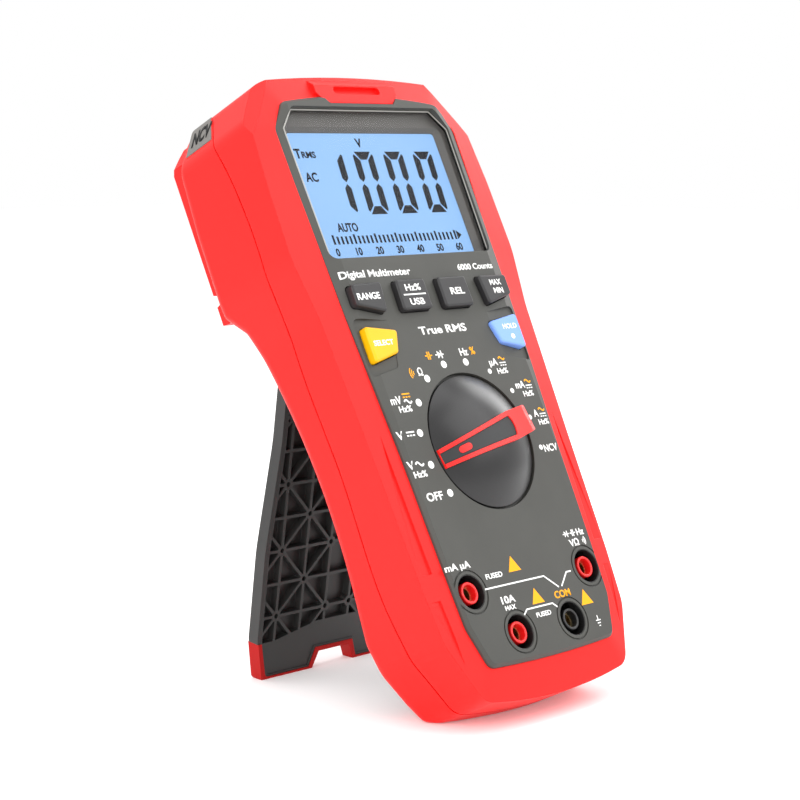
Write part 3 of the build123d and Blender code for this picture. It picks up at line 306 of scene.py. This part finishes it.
class Print:
    """Printed shapes, thin solids that are collected into one piece and ride on a body."""

    def __init__(self, name, body, finish, slot=None):
        self.name = name
        self.body = body
        self.finish = finish
        self.slot = slot
        self.mesh = bmesh.new()

    def prism(self, points, z=PANEL_Z):
        """An outline in the face's plane, raised by the ink's thickness."""
        low = [self.mesh.verts.new((x, y, z - SINK)) for x, y in points]
        high = [self.mesh.verts.new((x, y, z + INK)) for x, y in points]
        self.mesh.faces.new(high)
        self.mesh.faces.new(low[::-1])
        for i in range(len(points)):
            j = (i + 1) % len(points)
            self.mesh.faces.new((low[i], low[j], high[j], high[i]))

    def dot(self, x, y, r, z=PANEL_Z):
        self.prism(circle(x, y, r, 24), z)

    def line(self, points, width, z=PANEL_Z):
        """A stroke of even width through the points, mitred at its corners."""
        points = [Vector(p) for p in points]
        left, right = [], []
        for i, point in enumerate(points):
            ahead = (points[min(i + 1, len(points) - 1)] - point)
            behind = (point - points[max(i - 1, 0)])
            along = (ahead.normalized() + behind.normalized()).normalized()
            side = Vector((-along.y, along.x))
            leg = ahead if ahead.length else behind
            reach = width / 2 / max(SHARPEST_MITRE, abs(side.dot(Vector((-leg.y, leg.x)).normalized())))
            left.append(tuple(point + side * reach))
            right.append(tuple(point - side * reach))
        for i in range(len(points) - 1):
            self.prism([right[i], right[i + 1], left[i + 1], left[i]], z)

    def tube(self, x, y, inner, outer, z_low, z_high):
        """A short upright tube."""
        steps = 48
        corners = ((inner, z_low), (outer, z_low), (outer, z_high), (inner, z_high))
        rings = [[self.mesh.verts.new((*point, z)) for point in circle(x, y, r, steps)]
                 for r, z in corners]
        for near, far in zip(rings, rings[1:] + rings[:1]):
            for i in range(steps):
                j = (i + 1) % steps
                self.mesh.faces.new((near[i], near[j], far[j], far[i]))

    def text(self, words, x, y, height, z=PANEL_Z, width=None, bold=0.025):
        """Lettering centred at (x, y): height is that of a capital, width that of all the words."""
        curve = bpy.data.curves.new("words", "FONT")
        curve.body = words
        curve.size = 1.0
        curve.offset = bold
        curve.resolution_u = 4
        holder = bpy.data.objects.new("words", curve)
        flat = bpy.data.meshes.new_from_object(holder)
        xs = [v.co.x for v in flat.vertices]
        tall = height / CAPITAL
        wide = width / (max(xs) - min(xs)) if width else tall * NATURAL_WIDTH
        middle = Vector(((max(xs) + min(xs)) / 2, CAPITAL / 2, 0))
        part = bmesh.new()
        part.from_mesh(flat)
        bmesh.ops.remove_doubles(part, verts=part.verts, dist=WELD)
        for v in part.verts:
            v.co = Vector(((v.co.x - middle.x) * wide + x, (v.co.y - middle.y) * tall + y, z - SINK))
        made = bmesh.ops.extrude_face_region(part, geom=part.faces[:])
        for v in made["geom"]:
            if isinstance(v, bmesh.types.BMVert):
                v.co.z = z + INK
        block = bpy.data.meshes.new("block")
        part.to_mesh(block)
        self.mesh.from_mesh(block)
        part.free()
        bpy.data.meshes.remove(block)
        bpy.data.meshes.remove(flat)
        bpy.data.objects.remove(holder)
        bpy.data.curves.remove(curve)

    def wave(self, x, y, length, z=PANEL_Z):
        """The alternating-current sign: one period of a wave."""
        count = 12
        self.line([(x + length * (i / count - 0.5), y + length * 0.17 * math.sin(math.tau * i / count))
                   for i in range(count + 1)], length * 0.16, z)

    def direct(self, x, y, length, z=PANEL_Z):
        """The direct-current sign: a bar over three dashes."""
        self.line([(x - length / 2, y + length * 0.14),
                   (x + length / 2, y + length * 0.14)], length * 0.13, z)
        for k in (-1, 0, 1):
            middle = x + k * length * 0.36
            self.line([(middle - length * 0.12, y - length * 0.16),
                       (middle + length * 0.12, y - length * 0.16)], length * 0.13, z)

    def diode(self, x, y, size, z=PANEL_Z):
        """A lead, a triangle on it, and the bar at the triangle's point."""
        self.line([(x - size * 0.6, y), (x + size * 0.6, y)], size * 0.13, z)
        self.prism([(x - size * 0.28, y - size * 0.4), (x + size * 0.25, y),
                    (x - size * 0.28, y + size * 0.4)], z)
        bar_x = x + size * 0.28
        self.line([(bar_x, y - size * 0.42), (bar_x, y + size * 0.42)], size * 0.15, z)

    def capacitor(self, x, y, size, z=PANEL_Z):
        """Two plates, each with its lead."""
        for side in (-1, 1):
            plate_x = x + side * size * 0.14
            self.line([(plate_x, y - size * 0.45), (plate_x, y + size * 0.45)], size * 0.16, z)
            self.line([(plate_x, y), (x + side * size * 0.55, y)], size * 0.14, z)

    def sound(self, x, y, size, facing=1, z=PANEL_Z):
        """Three nested arcs: the continuity beeper's sign."""
        for k in (1, 2, 3):
            r = size * 0.3 * k
            self.line([(x + facing * (r * math.cos(a) - size * 0.55), y + r * math.sin(a))
                       for a in [math.radians(d) for d in range(-45, 46, 15)]], size * 0.13, z)

    def drape(self):
        """Follow the panel where it falls away towards its sides."""
        for v in self.mesh.verts:
            v.co.z -= PANEL_SLOPE * max(0.0, abs(v.co.x) - PANEL_SLOPE_X)

    def place(self, matrix=METER):
        """Turn the collected shapes into one piece on its body."""
        bmesh.ops.recalc_face_normals(self.mesh, faces=self.mesh.faces)
        self.mesh.transform(matrix)
        data = bpy.data.meshes.new(self.name)
        self.mesh.to_mesh(data)
        self.mesh.free()
        data.materials.append(M[self.finish])
        piece = bpy.data.objects.new(self.name, data)
        scene.collection.objects.link(piece)
        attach(piece, self.body)


# ---- the panel's legends ----

DOT_RADIUS = 23.75          # the legend dots lie on this circle round the dial
DOT_COUNT = 11
FIRST_SMALL_DOT = 7         # the current ranges and the sensor have smaller dots
DOT_R = 1.1
SMALL_DOT_R = 0.75
STEP_DEG = 22.5
FIRST_DOT_DEG = 213.75
CAP = 2.3                   # height of the larger capitals
SMALL = 1.75
LEAD = 0.42                 # width of the lines that join sockets
EARTH = 0.3                 # width of the earth sign's strokes

white = Print("face_legends", "meter", "ink_white")
orange = Print("face_legends_orange", "meter", "ink_orange")

for step in range(DOT_COUNT):
    angle = math.radians(FIRST_DOT_DEG - STEP_DEG * step)
    white.dot(DOT_RADIUS * math.cos(angle), DOT_RADIUS * math.sin(angle),
              DOT_R if step < FIRST_SMALL_DOT else SMALL_DOT_R)

white.text("OFF", -26.0, -13.4, CAP, width=6.4)
white.text("V", -30.9, -3.9, CAP)
white.wave(-27.5, -3.9, 3.2)
white.text("Hz%", -28.4, -6.7, SMALL, width=5.0)
white.text("V", -31.0, 4.7, CAP)
white.direct(-27.0, 4.8, 3.2)
white.text("mV", -28.2, 14.6, CAP, width=4.2)
orange.direct(-23.7, 15.7, 3.0)
white.wave(-23.7, 13.9, 3.0)
white.text("Hz%", -25.6, 11.9, SMALL, width=5.0)
white.text("Ω", -15.1, 21.9, 2.2)
orange.sound(-18.4, 21.8, 2.3, -1)
orange.capacitor(-9.5, 26.3, 2.6)
white.diode(-5.0, 26.3, 2.8)
white.text("Hz", 5.2, 26.4, 2.2, width=3.4)
orange.text("%", 8.9, 26.5, 2.2)
white.text("µA", 16.0, 22.4, 2.1, width=3.6)
white.text("mA", 23.9, 14.7, 2.1, width=4.0)
white.text("A", 26.3, 5.6, 2.1)
for x, y, gap in ((19.9, 22.4, 2.0), (27.6, 14.7, 2.2), (29.2, 5.7, 1.2)):
    orange.wave(x, y + 0.85, 2.6)
    white.direct(x, y - 0.85, 2.6)
    white.text("Hz%", x - gap * 0.6, y - 2.9, 1.6, width=4.4)
white.text("NCV", 27.4, -5.1, 2.1, width=5.9)
white.text("True RMS", 0.0, 33.8, 2.3, width=19.6)
white.text("Digital Multimeter", -18.9, 51.9, 2.1, width=27.9)
white.text("6000 Counts", 22.8, 52.1, 1.8, width=15.2)
white.text("mA µA", -26.6, -33.3, 1.9, width=9.8)
white.text("10A", -11.8, -45.0, 2.0, width=5.6)
white.text("MAX", -11.9, -47.3, 1.3, width=4.4)
white.text("FUSED", -14.0, -37.8, 1.4, width=6.8)
white.text("FUSED", 0.2, -51.1, 1.3, width=6.2)
orange.text("COM", 10.5, -46.9, 2.0, width=6.8)
white.diode(20.6, -30.8, 2.2)
white.capacitor(23.6, -30.8, 2.2)
white.text("Hz", 26.9, -30.8, 1.9, width=3.2)
white.text("VΩ", 22.9, -33.6, 2.0, width=4.2)
white.sound(27.3, -33.6, 1.9)
white.line([(-19.3, -41.0), (5.4, -41.0), (10.0, -44.9)], LEAD)
white.line([(17.2, -41.3), (15.2, -41.3), (11.3, -44.9)], LEAD)
white.line([(-7.6, -50.2), (-5.9, -48.9), (5.1, -48.9), (6.6, -50.2)], LEAD)
x, y = 21.4, -56.6
white.line([(x, y + 1.4), (x, y)], EARTH)
for drop, half in ((0, 1.0), (0.8, 0.65), (1.6, 0.3)):
    white.line([(x - half, y - drop), (x + half, y - drop)], EARTH)
for x, y in ((-5.2, -35.9), (-0.3, -46.0), (19.4, -49.5)):
    orange.prism([(x - 2.6, y - 2.0), (x + 2.6, y - 2.0), (x, y + 2.4)])
for legends in (white, orange):
    legends.drape()
    legends.place()

# ---- the keys' legends: each key's top, then its words with x, y, height and width ----

KEY_WORDS = {
    "range_button": (KEY_TOP_Z, [("RANGE", -27.0, 44.5, 1.9, 8.8)]),
    "relative_button": (KEY_TOP_Z, [("REL", 9.2, 44.2, 2.0, 5.8)]),
    "maxmin_button": (KEY_TOP_Z, [("MAX", 26.6, 46.0, 1.7, 4.9), ("MIN", 26.8, 43.4, 1.7, 4.1)]),
    "hertz_button": (KEY_TOP_Z, [("Hz%", -8.6, 46.2, 1.9, 6.2), ("USB", -8.6, 41.9, 1.9, 5.8)]),
    "select_button": (THUMB_TOP_Z, [("SELECT", -26.6, 31.0, 1.5, 7.6)]),
    "hold_button": (THUMB_TOP_Z, [("HOLD", 27.0, 32.4, 1.5, 6.0)]),
}
for body, (top, words) in KEY_WORDS.items():
    legend = Print(body + "_legend", body, "ink_white")
    for word, x, y, height, width in words:
        legend.text(word, x, y, height, top, width)
    if body == "hertz_button":
        legend.line([(-13.2, 44.05), (-4.2, 44.05)], 0.4, top)
    if body == "hold_button":
        legend.dot(27.0, 29.2, 0.8, top)
    legend.place()

# ================= display =================

DIGIT_BOTTOM = 71.5
DIGIT_TOP = 91.2
DIGIT_LEFT = -20.7
DIGIT_WIDE = 8.2
DIGIT_PITCH = 12.6
DIGIT_SLOPE = 0.07          # digits lean to the right
BAR = 2.5                   # width of a segment
NICK = 0.3                  # gap between segments
TIP = 1.3                   # height of a segment's point
CORNER = 0.5                # cut-off corner where two segments meet

segments = Print("display_segments", "meter", "segment")


def slanted(points):
    """The points, leaning with the digits."""
    return [(x + (y - DIGIT_BOTTOM) * DIGIT_SLOPE, y) for x, y in points]


def upright_segment(x, y_tip, y_end, inner):
    """A vertical segment from its pointed tip to its mitred end, with its outer side at x.

    inner is +1 where the digit's inside is to the right of it, and -1 where it is to the left.
    """
    up = 1 if y_end > y_tip else -1
    segments.prism(slanted([(x, y_tip + up * TIP),
                            (x + inner * BAR / 2, y_tip),
                            (x + inner * BAR, y_tip + up * TIP),
                            (x + inner * BAR, y_end - up * (BAR + NICK)),
                            (x + inner * CORNER, y_end - up * (CORNER + NICK)),
                            (x, y_end - up * (2 * CORNER + NICK))]), GLASS_Z)


def cross_segment(x, y, inward):
    """A horizontal segment, its outer side at y; inward is +1 at a digit's bottom, -1 at its top."""
    outer, inner = CORNER + NICK, BAR + NICK
    segments.prism(slanted([(x + outer, y),
                            (x + DIGIT_WIDE - outer, y),
                            (x + DIGIT_WIDE - inner, y + inward * BAR),
                            (x + inner, y + inward * BAR)]), GLASS_Z)


# the reading is 1000: a one, which has no left side, and three noughts
middle_y = (DIGIT_BOTTOM + DIGIT_TOP) / 2
for place in range(4):
    x = DIGIT_LEFT + DIGIT_PITCH * place
    columns = [(x + DIGIT_WIDE, -1)] if place == 0 else [(x, 1), (x + DIGIT_WIDE, -1)]
    for column, inner in columns:
        upright_segment(column, middle_y - NICK, DIGIT_BOTTOM, inner)
        upright_segment(column, middle_y + NICK, DIGIT_TOP, inner)
    if place:
        cross_segment(x, DIGIT_BOTTOM, 1)
        cross_segment(x, DIGIT_TOP, -1)

segments.text("V", -2.7, 94.0, 2.6, GLASS_Z, bold=0.035)
segments.text("T", -28.4, 90.7, 2.8, GLASS_Z, bold=0.035)
segments.text("RMS", -24.3, 90.3, 1.9, GLASS_Z, 5.4, 0.03)
segments.text("AC", -26.1, 83.4, 2.7, GLASS_Z, 4.8, 0.03)
segments.text("AUTO", -18.9, 67.8, 2.5, GLASS_Z, 8.2, 0.03)

SCALE_START = -25.9         # the bar graph under the digits runs from 0 to 60
SCALE_END = 24.5
TICKS = 30
NUMBERED = 5                # every fifth tick is taller and has a number
TICK_HALF = 0.38
TICK_BOTTOM = 62.7
TICK_TOP = 65.1
TALLER = 0.5
for tick in range(TICKS + 1):
    x = SCALE_START + (SCALE_END - SCALE_START) * tick / TICKS
    top = TICK_TOP + TALLER * (tick % NUMBERED == 0)
    segments.prism([(x - TICK_HALF, TICK_BOTTOM), (x + TICK_HALF, TICK_BOTTOM),
                    (x + TICK_HALF, top), (x - TICK_HALF, top)], GLASS_Z)
segments.prism([(25.3, TICK_BOTTOM), (27.3, 64.1), (25.3, 65.5)], GLASS_Z)
numbers = TICKS // NUMBERED
for k in range(numbers + 1):
    x = SCALE_START + (SCALE_END - SCALE_START) * k / numbers
    segments.text(str(10 * k), x, 60.4, 2.2, GLASS_Z, bold=0.03)
segments.place()

# ================= window surround: a painted highlight on its rim ===

# a light grey ribbon round the window's rim: a painted highlight, standing in for light reflected at
# the lens's edge
edge = Print("window_rim_painted_highlight", "meter", "painted_rim_highlight")
edge.line([(-28.2, 103.0), (28.8, 103.0), (34.0, 97.2), (33.1, 57.1), (-32.3, 57.1), (-33.2, 97.2),
           (-28.2, 103.0)], 0.4, LIP_Z)
edge.place()

# ================= sockets =================

SOCKETS = ((-24.7, -40.9), (-11.2, -54.3), (11.2, -54.3), (24.7, -40.9))
SLEEVE_R = 4.97             # black lining of each socket's hole in the panel
SLEEVE_T = 0.2
SLEEVE_BOTTOM = -6.9
SLEEVE_TOP = -0.15

sleeves = Print("socket_sleeves", "meter", "socket_black", "socket_black")
for x, y in SOCKETS:
    sleeves.tube(x, y, SLEEVE_R - SLEEVE_T, SLEEVE_R, SLEEVE_BOTTOM, SLEEVE_TOP)
sleeves.place()

# ================= corner labels =================

MARK_HEIGHT = 0.3           # the lettering's height over the casing's corner, which the label covers

for side, name in ((-1, "left"), (1, "right")):
    outward = Vector((0.819 * side, 0.574, 0))      # square to the casing's cut corner
    across = Vector((0, 0, -side))
    centre = Vector((38.9 * side, 107.7, -27.1)) + outward * MARK_HEIGHT
    turn = frame_turn(across, outward.cross(across), outward)
    mark = Print("corner_mark_" + name, "meter", "ink_dark")
    mark.text("NCV", 0, 0, 5.2, 0, 8.6, 0.04)
    mark.place(METER @ Matrix.Translation(centre) @ turn)

# ================= studio =================

FLOOR = 4.0                 # metres from the middle to an edge
floor = bpy.data.meshes.new("floor")
floor.from_pydata([(-FLOOR, -FLOOR, 0), (FLOOR, -FLOOR, 0), (FLOOR, FLOOR, 0), (-FLOOR, FLOOR, 0)], [],
                  [(0, 1, 2, 3)])
floor_object = bpy.data.objects.new("floor", floor)
scene.collection.objects.link(floor_object)
paper, surface, _, _ = shader("paper floor")
surface.inputs["Base Color"].default_value = (0.92, 0.92, 0.92, 1)
surface.inputs["Roughness"].default_value = 0.9
surface.inputs["Specular IOR Level"].default_value = 0.1
surface.inputs["Emission Color"].default_value = (1, 1, 1, 1)
surface.inputs["Emission Strength"].default_value = 0.12
floor.materials.append(paper)

world = bpy.data.worlds.new("studio")
scene.world = world
world.use_nodes = True
world.node_tree.nodes["Background"].inputs["Color"].default_value = (1, 1, 1, 1)
world.node_tree.nodes["Background"].inputs["Strength"].default_value = 1.0


def soft_light(name, place, aim, size, power):
    """A rectangular lamp that faces aim; places and sizes in metres, power in watts."""
    light = bpy.data.lights.new(name, "AREA")
    light.shape = "RECTANGLE"
    light.size, light.size_y = size
    light.energy = power
    lamp = bpy.data.objects.new(name, light)
    scene.collection.objects.link(lamp)
    lamp.location = place
    lamp.rotation_euler = (Vector(aim) - Vector(place)).to_track_quat("-Z", "Y").to_euler()


soft_light("key", (0.55, -0.85, 0.95), (0, 0, 0.08), (1.2, 1.2), 8)
soft_light("side", (0.80, 0.04, 0.52), (0, 0, 0.08), (0.3, 0.6), 2.2)
soft_light("fill", (-1.0, -0.3, 0.5), (0, 0, 0.08), (0.9, 0.7), 7)
soft_light("top", (0.0, 0.2, 1.3), (0, 0, 0), (1.2, 1.2), 6)

scene.view_settings.view_transform = "Standard"
scene.view_settings.look = "None"

camera_data = bpy.data.cameras.new("camera")
camera = bpy.data.objects.new("camera", camera_data)
scene.collection.objects.link(camera)
scene.camera = camera
camera_data.lens = 94.86                # millimetres, as is the sensor
camera_data.sensor_width = 36.0
camera_data.clip_start = 0.02
camera_data.clip_end = 20.0
camera.location = Vector(dial["pos_m"]) + Vector((-439.7, -383.0, 81.1)) * MM
camera.rotation_euler = Vector((0.7230, 0.6815, -0.1190)).to_track_quat("-Z", "Y").to_euler()
